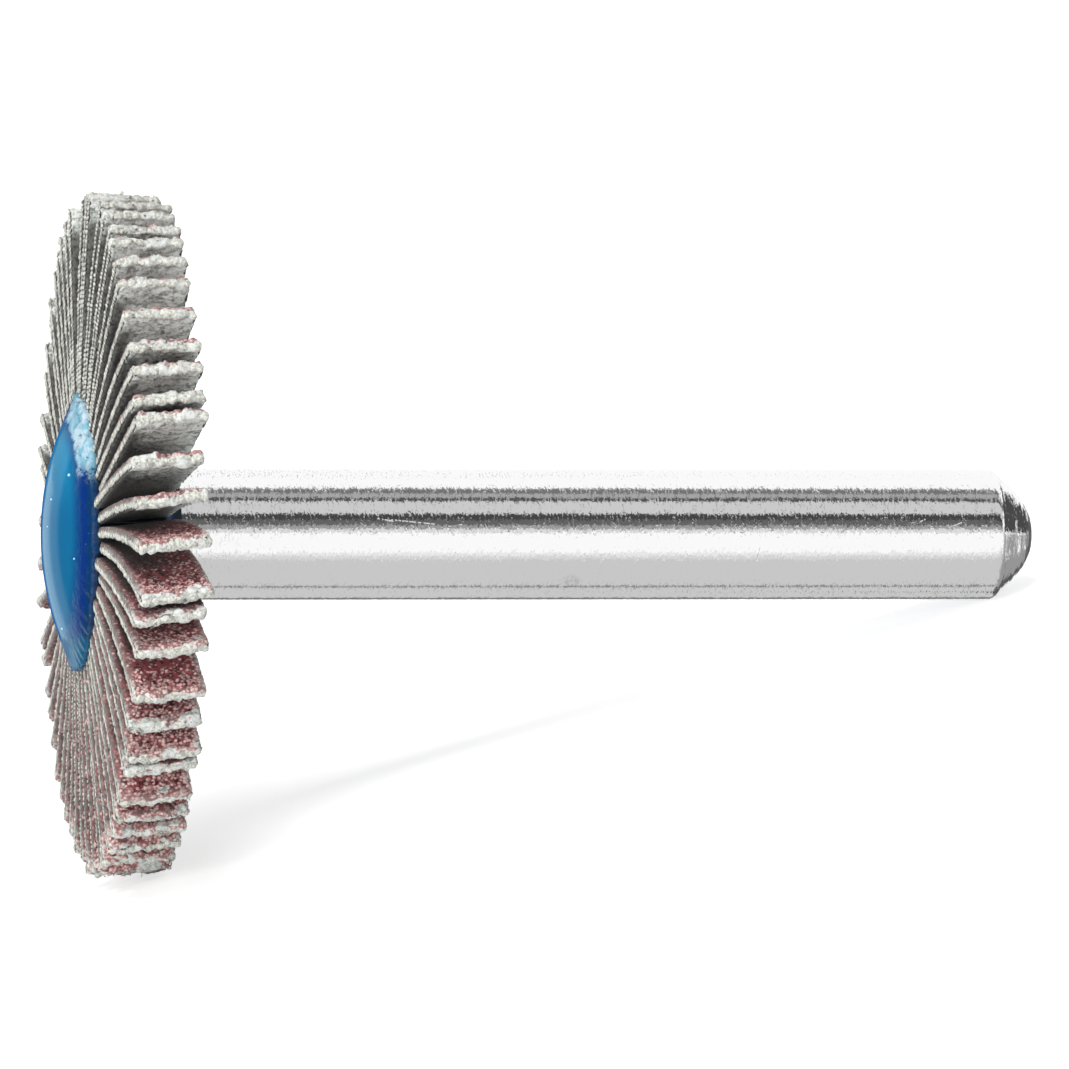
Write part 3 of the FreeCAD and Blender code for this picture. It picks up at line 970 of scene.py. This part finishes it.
grain_layer = ramp(tree, plus(tree, through, times(tree, wander, 0.50)), -0.06, -0.14)
luck = add_node(tree, "ShaderNodeTexWhiteNoise", noise_dimensions="1D")
plug(tree, number, luck.inputs["W"])
broad = arithmetic(tree, "SUBTRACT", noise(tree, where, 0.9, 2.0), 0.5)
loss = plus(tree, times(tree, luck.outputs["Value"], 0.36), times(tree, wander, 1.2))
loss = plus(tree, loss, times(tree, broad, 2.4))
torn_off = ramp(tree, plus(tree, out, loss), LENGTH + 0.08, LENGTH + 0.16)
rubbed = ramp(tree, plus(tree, outermost, times(tree, wander, 0.9)),
              WIDTH / 2 - 0.16, WIDTH / 2 - 0.02)
bare = arithmetic(tree, "MAXIMUM", torn_off, times(tree, rubbed, 0.75))
dusty = arithmetic(tree, "MAXIMUM", ramp(tree, out, LENGTH - 0.5, LENGTH - 0.05),
                   ramp(tree, outermost, WIDTH / 2 - 0.45, WIDTH / 2 - 0.1))
grain = blend_colours(tree, times(tree, dusty, 0.28), grain, GRAIN_DUST)
has_grain = times(tree, grain_layer, arithmetic(tree, "SUBTRACT", 1.0, bare))
sheet_colour = blend_colours(tree, has_grain, weave, grain)
print("luck differs over", len(flaps), "flaps")

# %% [markdown]
# Little light gets down between the flaps. The lamps alone leave the gaps too grey, so painted
# shade takes the colour down towards the root. An Ambient Occlusion node also finds narrow gaps,
# and paints shade into the colour of what stands closer than its reach.

# %% Painted shade between the flaps
PAINTED_ROOT_SHADE, PAINTED_GAP_SHADE = (0.02, 0.014, 0.012), (0.012, 0.008, 0.007)
GAP_REACH = 1.1 * MM

# Painted shade towards the root, stronger towards the front edge.
deep = ramp(tree, out, LENGTH - 1.6, LENGTH - 4.0)
inside = times(tree, deep, ramp(tree, outermost, WIDTH / 2 - 0.05, WIDTH / 2 - 0.4))
towards_front = plus(tree, times(tree, ramp(tree, to_front, -1.0, 0.8), 0.6), 0.25)
inside = times(tree, inside, towards_front)
sheet_colour = blend_colours(tree, inside, sheet_colour, PAINTED_ROOT_SHADE)
colour = blend_colours(tree, thread, sheet_colour, thread_colour)
# Painted shade where the Ambient Occlusion node finds a neighbour close by.
openness = add_node(tree, "ShaderNodeAmbientOcclusion", Distance=GAP_REACH)
openness.samples = 3
in_gap = ramp(tree, openness.outputs["AO"], 0.46, 0.12)
colour = blend_colours(tree, in_gap, colour, PAINTED_GAP_SHADE)
print("gaps closer than", GAP_REACH / MM, "mm are dark")

# %% [markdown]
# Cloth is dull, with a trace of sheen from its fibres. The shape of the nap is in the mesh
# already. A fine bump adds only what is smaller than its faces.

# %% The cloth's surface
plug(tree, colour, shader.inputs["Base Color"])
shader.inputs["Roughness"].default_value = 0.75
shader.inputs["Specular IOR Level"].default_value = 0.35
shader.inputs["Sheen Weight"].default_value = 0.10
bump = add_node(tree, "ShaderNodeBump", Strength=0.9, Distance=0.00014)
plug(tree, noise(tree, where, 6.0, 5.0, 0.7), bump.inputs["Height"])
plug(tree, bump.outputs["Normal"], shader.inputs["Normal"])
for flap in flaps:
    flap.data.materials.append(material)
print("cloth's nodes:", len(tree.nodes))

# %% [markdown]
# The hub and the shank are round, so each is drawn as half a section and spun about the axis.
# Spinning a chain of points closes it into a skin, and the poles are merged to one point each.

# %% A lathe for round pieces
def lathe(name, profile, steps):
    """Spins a chain of (radius, height) points, in millimetres, about the wheel's axis."""
    deselect_all()
    bpy.ops.mesh.primitive_plane_add(size=1)
    piece = bpy.context.object
    piece.name = name
    bpy.ops.object.mode_set(mode="EDIT")
    bpy.ops.mesh.select_mode(type="VERT")
    bpy.ops.mesh.merge(type="CENTER")
    start = profile[0]
    bpy.ops.transform.translate(value=(start[0], 0, start[1]))
    for before, after in zip(profile, profile[1:]):
        step = (after[0] - before[0], 0, after[1] - before[1])
        bpy.ops.mesh.extrude_region_move(TRANSFORM_OT_translate={"value": step})
    bpy.ops.mesh.select_all(action="SELECT")
    bpy.ops.mesh.spin(steps=steps, angle=2 * math.pi, center=(0, 0, 0), axis=(0, 0, 1))
    bpy.ops.mesh.select_all(action="SELECT")
    bpy.ops.mesh.remove_doubles(threshold=0.0005)
    bpy.ops.mesh.normals_make_consistent(inside=False)
    bpy.ops.object.mode_set(mode="OBJECT")
    return piece


def arc_points(centre, radius, start, end, count):
    """Points of an arc in the half section, angles in degrees from the outward direction."""
    angles = [math.radians(start + (end - start) * i / count) for i in range(count + 1)]
    return [(centre[0] + radius * math.cos(a), centre[1] + radius * math.sin(a)) for a in angles]


# %% [markdown]
# The shank is a ground bar. Its end was turned to a cone and a rounded tip, and the tool left
# fine rings there, so the chain of points of the nose gets shallow rings of uneven depth before
# it is spun. Bump alone would lose them in the sharp reflections. The hidden end only has to
# close the shape inside the resin.

# %% The shape of the shank
SHANK_RADIUS = 3.0
TIP = 44.5
SPIGOT_RADIUS, SPIGOT_START, SPIGOT_END = 2.7, -0.5, 0.4
NOSE_RADIUS = 2.86
NOSE_ANGLE = 42.6
NOSE_BLEND = 0.5
SIDE_END = 42.408

nose_centre = TIP - NOSE_RADIUS
blend_arc = arc_points((SHANK_RADIUS - NOSE_BLEND, SIDE_END), NOSE_BLEND, 0, 90 - NOSE_ANGLE, 8)
nose_arc = arc_points((0, nose_centre), NOSE_RADIUS, 90 - NOSE_ANGLE, 90, 90)
print("nose begins at", SIDE_END, "mm and ends at", TIP)

# %% [markdown]
# The rings are cut into the chain of points before it is spun. It is walked in short even steps,
# and each ring gets a random depth, which the points between two rings share smoothly.

# %% The turning rings
RING_PITCH = 0.15
RING_DEPTH = 0.027
POINT_STEP = 0.024
RING_SEED = 5


def ringed(chain, seed):
    """The chain again in short even steps, with shallow turning rings of uneven depth."""
    chain = np.array(chain)
    lengths = np.insert(np.cumsum(np.linalg.norm(np.diff(chain, axis=0), axis=1)), 0, 0)
    steps = np.linspace(0, lengths[-1], int(lengths[-1] / POINT_STEP))
    points = np.stack([np.interp(steps, lengths, chain[:, i]) for i in (0, 1)], axis=1)
    tangents = np.gradient(points, axis=0)
    tangents /= np.linalg.norm(tangents, axis=1, keepdims=True)
    normals = np.stack([tangents[:, 1], -tangents[:, 0]], axis=1)
    dice = random.Random(seed)
    rings = [dice.uniform(0, RING_DEPTH) for _ in range(int(lengths[-1] / RING_PITCH) + 2)]
    depth = np.interp(steps / RING_PITCH, range(len(rings)), rings)
    fade = np.clip(np.minimum(steps, lengths[-1] - steps) / 0.1, 0, 1)
    return [tuple(point) for point in points - normals * (depth * fade)[:, None]]


nose = ringed([blend_arc[-1]] + nose_arc, RING_SEED)
print("points along the nose:", len(nose))

# %% [markdown]
# Now the whole outline is put together, from the hidden spigot to the tip, and spun. The skin
# is closed at both poles.

# %% The spun shank
side = [(SHANK_RADIUS, height) for height in np.linspace(SPIGOT_END, SIDE_END, 30)[:-1]]
spigot = [(0, SPIGOT_START), (SPIGOT_RADIUS, SPIGOT_START), (SPIGOT_RADIUS, SPIGOT_END)]
profile = spigot + side + blend_arc + nose[1:-1] + [(0, TIP)]
shank = lathe("steel_shank", profile, 160)
shank.data.transform(wheel_to_part)
shank.data.shade_smooth()
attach(shank, "root")
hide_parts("shank")
print("shank:", len(shank.data.polygons), "faces")

# %% [markdown]
# Ground steel is a mirror with fine marks. What the eye reads as texture is the edge of each
# reflection broken up by shallow pits, so the bump is only about a hundredth of a millimetre
# high, and the pits are drawn out round the bar, the way the grinding wheel went. One dull
# smudge lies low on the near side.

# %% The steel
SMUDGE = (-2.15, 2.09, 22.6)
CLEAN_STEEL, SMUDGED_STEEL = (0.95, 0.95, 0.95), (0.45, 0.45, 0.45)
ROUND_THE_BAR = (0.55, 0.55, 1.5)

material, tree, shader = fresh_material("ground_steel")
shader.inputs["Metallic"].default_value = 1
where = wheel_coordinates(tree)
along_shank = three_numbers(tree, where)[2]
from_smudge = add_node(tree, "ShaderNodeVectorMath", operation="DISTANCE")
plug(tree, where, from_smudge.inputs[0])
from_smudge.inputs[1].default_value = SMUDGE
smudge = times(tree, ramp(tree, from_smudge.outputs["Value"], 0.55, 0.10),
               ramp(tree, noise(tree, where, 3.0, 3.0, 0.6), 0.35, 0.60))
steel = blend_colours(tree, times(tree, smudge, 0.5), CLEAN_STEEL, SMUDGED_STEEL)
plug(tree, steel, shader.inputs["Base Color"])

pits = noise(tree, stretched(tree, where, ROUND_THE_BAR), 7.0, 2.0, 0.5)
sharp_pits = times(tree, ramp(tree, pits, 0.56, 0.70), 0.40)
height = plus(tree, pits, times(tree, noise(tree, where, 1.2, 2.0, 0.5), 0.8))
height = plus(tree, height, sharp_pits)
on_nose = ramp(tree, along_shank, SIDE_END, SIDE_END + 0.6)
dimples = times(tree, noise(tree, where, 6.0, 2.0, 0.6), on_nose)
height = plus(tree, height, times(tree, dimples, 0.6))
print("smudge at", SMUDGE, "mm")

# %% [markdown]
# Use has left a few scratches. Each is a thin line laid over the near side by a Mapping node of
# its own, given by its height, its place along the shank, its slant in degrees and its length.
# The pits break it up, so that it looks dragged and not drawn.

# %% The scratches
SCRATCHES = [(0.42, 40.37, 22, 0.85), (0.60, 38.78, 28, 0.50), (0.56, 15.2, -6, 2.4),
             (0.66, 13.9, -10, 0.9), (0.40, 17.1, 8, 0.7), (-2.2, 17.3, 20, 0.5),
             (1.2, 24.9, 75, 0.45), (-0.9, 31.2, 80, 0.7), (1.35, 34.2, 40, 0.35)]
SCRATCH_HALF_WIDTH = 0.035
SCRATCH_DEPTH = 1.6

for line_high, line_along, slant, length in SCRATCHES:
    line = add_node(tree, "ShaderNodeMapping", vector_type="TEXTURE")
    line.inputs["Location"].default_value = (line_high, 0, line_along)
    line.inputs["Rotation"].default_value = (0, math.radians(slant), 0)
    plug(tree, where, line.inputs["Vector"])
    aside, before, onwards = three_numbers(tree, line.outputs["Vector"])
    across = ramp(tree, arithmetic(tree, "ABSOLUTE", aside), SCRATCH_HALF_WIDTH, 0.0)
    lengthwise = ramp(tree, arithmetic(tree, "ABSOLUTE", onwards), length / 2, length / 3)
    this_side = arithmetic(tree, "GREATER_THAN", before, 0.0)
    scratch = times(tree, times(tree, across, lengthwise), this_side)
    scratch = times(tree, scratch, ramp(tree, pits, 0.42, 0.54))
    height = arithmetic(tree, "SUBTRACT", height, times(tree, scratch, SCRATCH_DEPTH))
print("scratches:", len(SCRATCHES))

# %% [markdown]
# The bump's distance is in metres, so it looks tiny, but a mirror shows the least slope. The
# roughness stays low and follows the pits.

# %% The steel's surface
bump = add_node(tree, "ShaderNodeBump", Strength=1.0, Distance=0.0000095)
plug(tree, height, bump.inputs["Height"])
plug(tree, bump.outputs["Normal"], shader.inputs["Normal"])
plug(tree, plus(tree, times(tree, pits, 0.04), 0.02), shader.inputs["Roughness"])
shank.data.materials.append(material)
print("steel's nodes:", len(tree.nodes))

# %% [markdown]
# The hub was poured round the flap roots: a low dome in front, a straight wall between the
# flaps, and at the back a small collar that climbs the shank. Where the resin ran in between the
# flaps, its brim has one small tongue for each flap. So it is spun with many steps, and then the
# brim's points are moved outwards, by a wave that counts the flaps and by a few slower ones.

# %% The shape of the hub
DOME_RADIUS = 6.19
DOME_RISE = 1.5
HUB_BACK = 3.7
HUB_END = 4.5
AROUND = 348
TONGUE, DRIP = 0.16, 0.10
DRIP_WAVES = (7, 13, 22, 37)

sphere = (DOME_RADIUS ** 2 + DOME_RISE ** 2) / (2 * DOME_RISE)
brim_angle = math.degrees(math.asin(DOME_RADIUS / sphere))
dome = arc_points((0, sphere - DOME_RISE), sphere, -90, brim_angle - 90, 40)
wall = [(DOME_RADIUS, height) for height in (0.1, 0.3, 0.6, 1.0, 1.6, 2.4, 3.2, HUB_BACK)]
collar = [(5.6, HUB_BACK - 0.05), (5.0, HUB_BACK - 0.05), (4.4, HUB_BACK),
          (3.9, 3.8), (3.5, 3.98), (3.22, 4.2), (3.05, HUB_END)]
profile = [(0, -DOME_RISE)] + dome[1:] + wall + collar + [(2.8, HUB_END - 0.05), (0, HUB_END - 0.05)]
hub = lathe("blue_resin_hub", profile, AROUND)
points = coordinates(hub.data)
reach = np.hypot(points[:, 0], points[:, 1])
turn = np.arctan2(points[:, 1], points[:, 0])
tongue = 0.5 + 0.5 * np.cos(len(FLAPS) * (turn - FIRST_FLAP) + math.pi)
drip = sum(np.sin(k * turn + 2.1 * k) for k in DRIP_WAVES) / 4
on_brim = np.clip((reach - 5.5) / 0.6, 0, 1) * (points[:, 2] < 3)
grow = 1 + on_brim * (TONGUE * tongue * (0.6 + 0.8 * drip) + DRIP * drip) / DOME_RADIUS
points[:, :2] *= grow[:, None]
move_to(hub.data, points)
print("hub:", len(hub.data.polygons), "faces")

# %% [markdown]
# A few air bubbles sit in the dome's skin and catch the light as white dots. Each is a small
# ball half sunk into the resin, and an attribute marks its points, so that the same material can
# give it a pale colour, a painted highlight.

# %% The bubbles
BUBBLES = [(2.70, 3.55, 0.075), (1.60, 1.60, 0.05), (0.35, 1.20, 0.04), (-4.30, 1.10, 0.06),
           (-1.10, 4.60, 0.045)]
bubbles = []
for high, near_side, size in BUBBLES:
    deselect_all()
    bpy.ops.mesh.primitive_ico_sphere_add(subdivisions=2, radius=size)
    bubble = bpy.context.object
    depth = sphere - DOME_RISE - math.sqrt(sphere ** 2 - high ** 2 - near_side ** 2)
    bubble.data.transform(Matrix.Translation((high, near_side, depth)))
    bubbles.append(bubble)
for piece, value in [(hub, 0.0)] + [(bubble, 1.0) for bubble in bubbles]:
    mark = piece.data.attributes.new("bubble", "FLOAT", "POINT")
    mark.data.foreach_set("value", np.full(len(piece.data.vertices), value, np.float32))
hub = join_pieces("blue_resin_hub", [hub] + bubbles)
hub.data.transform(wheel_to_part)
hub.data.shade_smooth()
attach(hub, "root")
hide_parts("resin_hub")
print("bubbles:", len(BUBBLES))

# %% [markdown]
# The resin is tinted blue and lets light in a little way, so it looks darker where it is thick
# or leans away. Glass settings would show the dark flaps behind it, and the real one shows none
# of them. So it is a glossy opaque blue, whose tone goes from pale at the top, where light is
# painted in, to deep towards the brim, where a darker ring is a painted reflection.

# %% The blue of the dome
LOW_BLUE, LIT_TOP_BLUE = (0.004, 0.132, 0.295), (0.008, 0.245, 0.46)
RING_REFLECTION_BLUE, BRIM_BLUE, FOOT_BLUE = (0.001, 0.028, 0.175), (0.002, 0.034, 0.11), (0.003, 0.09, 0.19)

material, tree, shader = fresh_material("blue_resin")
where = wheel_coordinates(tree)
high, towards_camera, along_shank = three_numbers(tree, where)
from_axis = arithmetic(tree, "SQRT", plus(tree, times(tree, high, high),
                                          times(tree, towards_camera, towards_camera)))
ragged = noise(tree, where, 2.2, 5.0, 0.7)
wavy = arithmetic(tree, "SUBTRACT", ragged, 0.5)
rim = plus(tree, from_axis, wavy)
# Paler towards the top: painted light on the blue.
resin = blend_colours(tree, ramp(tree, high, 0.5, 4.5), LOW_BLUE, LIT_TOP_BLUE)
# The darker ring is a painted reflection of the dome's steep shoulder.
resin = blend_colours(tree, ramp(tree, from_axis, 4.2, 5.5), resin, RING_REFLECTION_BLUE)
resin = blend_colours(tree, ramp(tree, rim, 5.65, 6.05), resin, BRIM_BLUE)
resin = blend_colours(tree, ramp(tree, plus(tree, high, wavy), -4.3, -5.2), resin, FOOT_BLUE)
print("blue from", LOW_BLUE, "to", LIT_TOP_BLUE)

# %% [markdown]
# Near the top of the near side the brim is frosted, where the resin foamed. Noise drawn out
# round the wheel gives its ragged grain, and masks keep it on that part of the ring. A few stray
# flecks follow the rest of the brim, and the bubbles get their pale tone here too, a painted
# highlight.

# %% The frost and the bubbles' painted highlight
FROST_DARK, FROST_PALE = (0.20, 0.44, 0.56), (0.46, 0.61, 0.69)
BUBBLE_PAINTED_HIGHLIGHT = (0.55, 0.80, 0.95)

flecks = noise(tree, stretched(tree, where, (1.0, 0.35, 1.0)), 3.6, 5.0, 0.75)
at_ring = ramp(tree, plus(tree, from_axis, times(tree, wavy, 0.5)), 4.95, 5.3)
upper = ramp(tree, plus(tree, high, wavy), 2.0, 3.6)
this_side = ramp(tree, towards_camera, -0.8, 0.4)
patch = times(tree, times(tree, at_ring, upper), this_side)
frosted = times(tree, ramp(tree, plus(tree, flecks, times(tree, patch, 0.16)), 0.44, 0.66), patch)
stray = times(tree, ramp(tree, flecks, 0.63, 0.70), ramp(tree, rim, 5.5, 5.9))
frosted = arithmetic(tree, "MAXIMUM", frosted, times(tree, stray, 0.55))
brighter = ramp(tree, noise(tree, where, 1.7, 2.0), 0.40, 0.62)
resin = blend_colours(tree, frosted, resin,
                      blend_colours(tree, brighter, FROST_DARK, FROST_PALE))
bubble = add_node(tree, "ShaderNodeAttribute", attribute_name="bubble").outputs["Fac"]
# The bubbles' pale colour is a painted highlight.
resin = blend_colours(tree, bubble, resin, BUBBLE_PAINTED_HIGHLIGHT)
print("frost from", FROST_DARK, "to", FROST_PALE)

# %% [markdown]
# Behind the dome the resin is seen only through the gaps and from the back, where it lies in
# the flaps' shade. Painted shade makes it nearly black in the slots between the flaps and on the
# collar, and the rear face is deep blue. The gloss is high all over but for the frost and the slots.

# %% The hidden resin and the resin's surface
SLOT_PAINTED_SHADE = (0.003, 0.008, 0.014)
COLLAR_PAINTED_SHADE, REAR_BLUE = (0.002, 0.010, 0.022), (0.003, 0.035, 0.11)
LEAST_ROUGHNESS = 0.13

# Painted shade in the slots and on the collar; the rear face keeps a deep blue.
behind = ramp(tree, along_shank, 0.1, 0.4)
rear = blend_colours(tree, ramp(tree, from_axis, 4.3, 4.8), COLLAR_PAINTED_SHADE, REAR_BLUE)
hidden = blend_colours(tree, ramp(tree, along_shank, 3.3, 3.6), SLOT_PAINTED_SHADE, rear)
resin = blend_colours(tree, behind, resin, hidden)
plug(tree, resin, shader.inputs["Base Color"])
in_slots = times(tree, behind, ramp(tree, from_axis, 4.8, 4.3))
dull = arithmetic(tree, "MAXIMUM", times(tree, frosted, 0.5), times(tree, in_slots, 0.8))
plug(tree, plus(tree, dull, LEAST_ROUGHNESS), shader.inputs["Roughness"])
bump = add_node(tree, "ShaderNodeBump", Strength=0.4, Distance=0.00012)
plug(tree, times(tree, ragged, ramp(tree, rim, 4.7, 5.5)), bump.inputs["Height"])
plug(tree, bump.outputs["Normal"], shader.inputs["Normal"])
hub.data.materials.append(material)
print("resin's nodes:", len(tree.nodes))

# %% [markdown]
# A dressed part has to keep the model's size.

# %% The end
import json
